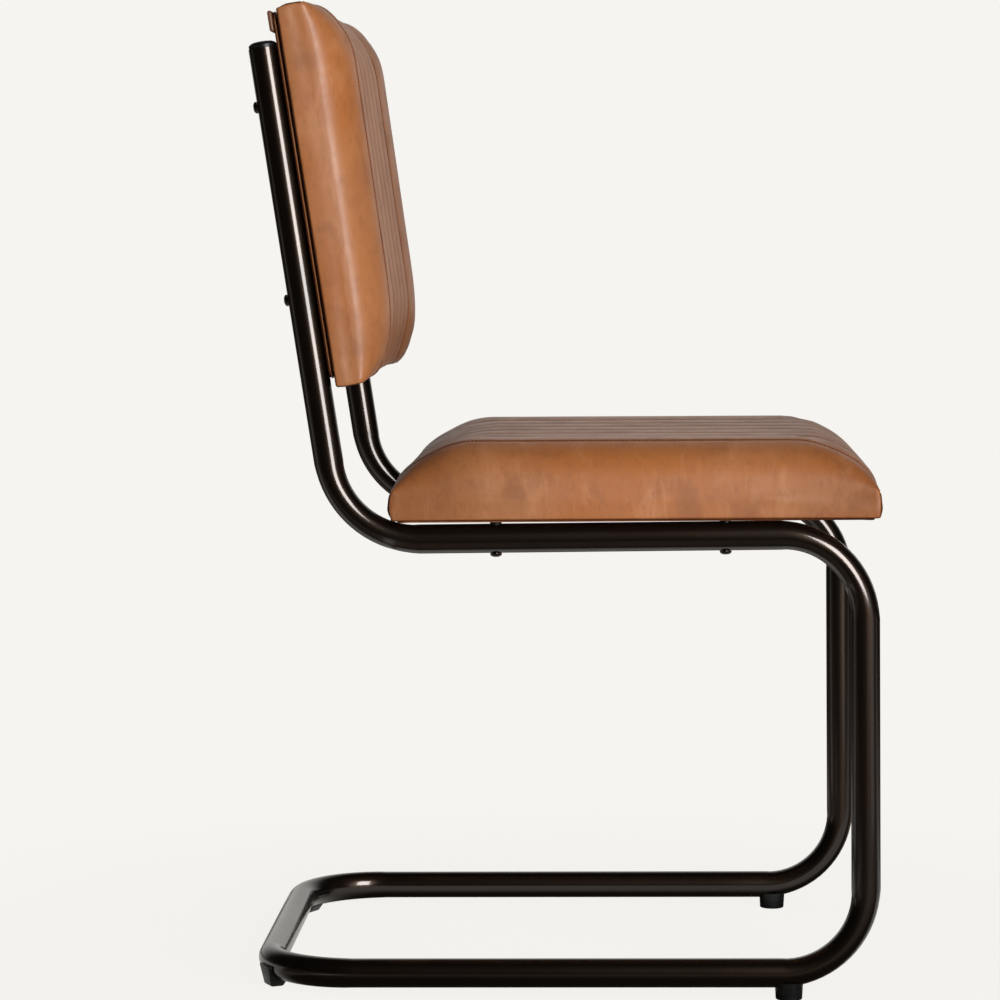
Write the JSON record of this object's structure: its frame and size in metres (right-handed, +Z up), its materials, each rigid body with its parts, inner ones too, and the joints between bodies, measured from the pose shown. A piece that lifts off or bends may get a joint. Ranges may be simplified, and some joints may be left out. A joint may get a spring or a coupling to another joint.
{
  "type": "cantilever dining chair",
  "caption": "Armless cantilever dining chair: a bent round steel tube with a dark powder coat carries a boxed leather seat and back with lengthwise channels.",
  "frame": {"origin": "on the floor under the middle of the base", "axes": "+Z up, the chair faces -Y, and +X is the sitter's left"},
  "size_m": [0.4526, 0.5411, 0.8499],
  "materials": {
    "powder_coat": "near-black bronze powder coat with a satin gloss",
    "black_plastic": "moulded black plastic",
    "leather": "tan waxed leather, mottled, with tone on tone stitching",
    "dark_leather": "darker leather stretched over a thin panel",
    "plywood": "bare plywood inside the pads",
    "foam": "upholstery foam inside the pads",
    "zinc": "zinc plated steel"
  },
  "bodies": {
    "root": {"frame_tube_right": "powder_coat", "frame_tube_left": "powder_coat", "seat_bolt_rear_right": "powder_coat", "seat_bolt_rear_left": "powder_coat", "seat_bolt_front_right": "powder_coat", "seat_bolt_front_left": "powder_coat", "back_bolt_lower_right": "powder_coat", "back_bolt_lower_left": "powder_coat", "back_bolt_upper_right": "powder_coat", "back_bolt_upper_left": "powder_coat", "post_cap_right": "black_plastic", "post_cap_left": "black_plastic", "front_glide_right": "black_plastic", "front_glide_left": "black_plastic", "rear_glide_right": "black_plastic", "rear_glide_left": "black_plastic", "seat_spacer_rear_right": "black_plastic", "seat_spacer_rear_left": "black_plastic", "seat_spacer_front_right": "black_plastic", "seat_spacer_front_left": "black_plastic", "seat_cover": "leather", "back_cover": "leather", "seat_base_panel": "dark_leather", "back_rear_panel": "dark_leather", "seat_board": "plywood", "back_board": "plywood", "seat_foam": "foam", "back_foam": "foam", "frame_sleeve": "zinc", "seat_tee_nut_rear_right": "zinc", "seat_tee_nut_rear_left": "zinc", "seat_tee_nut_front_right": "zinc", "seat_tee_nut_front_left": "zinc", "back_tee_nut_lower_right": "zinc", "back_tee_nut_lower_left": "zinc", "back_tee_nut_upper_right": "zinc", "back_tee_nut_upper_left": "zinc"}
  },
  "joints": []
}
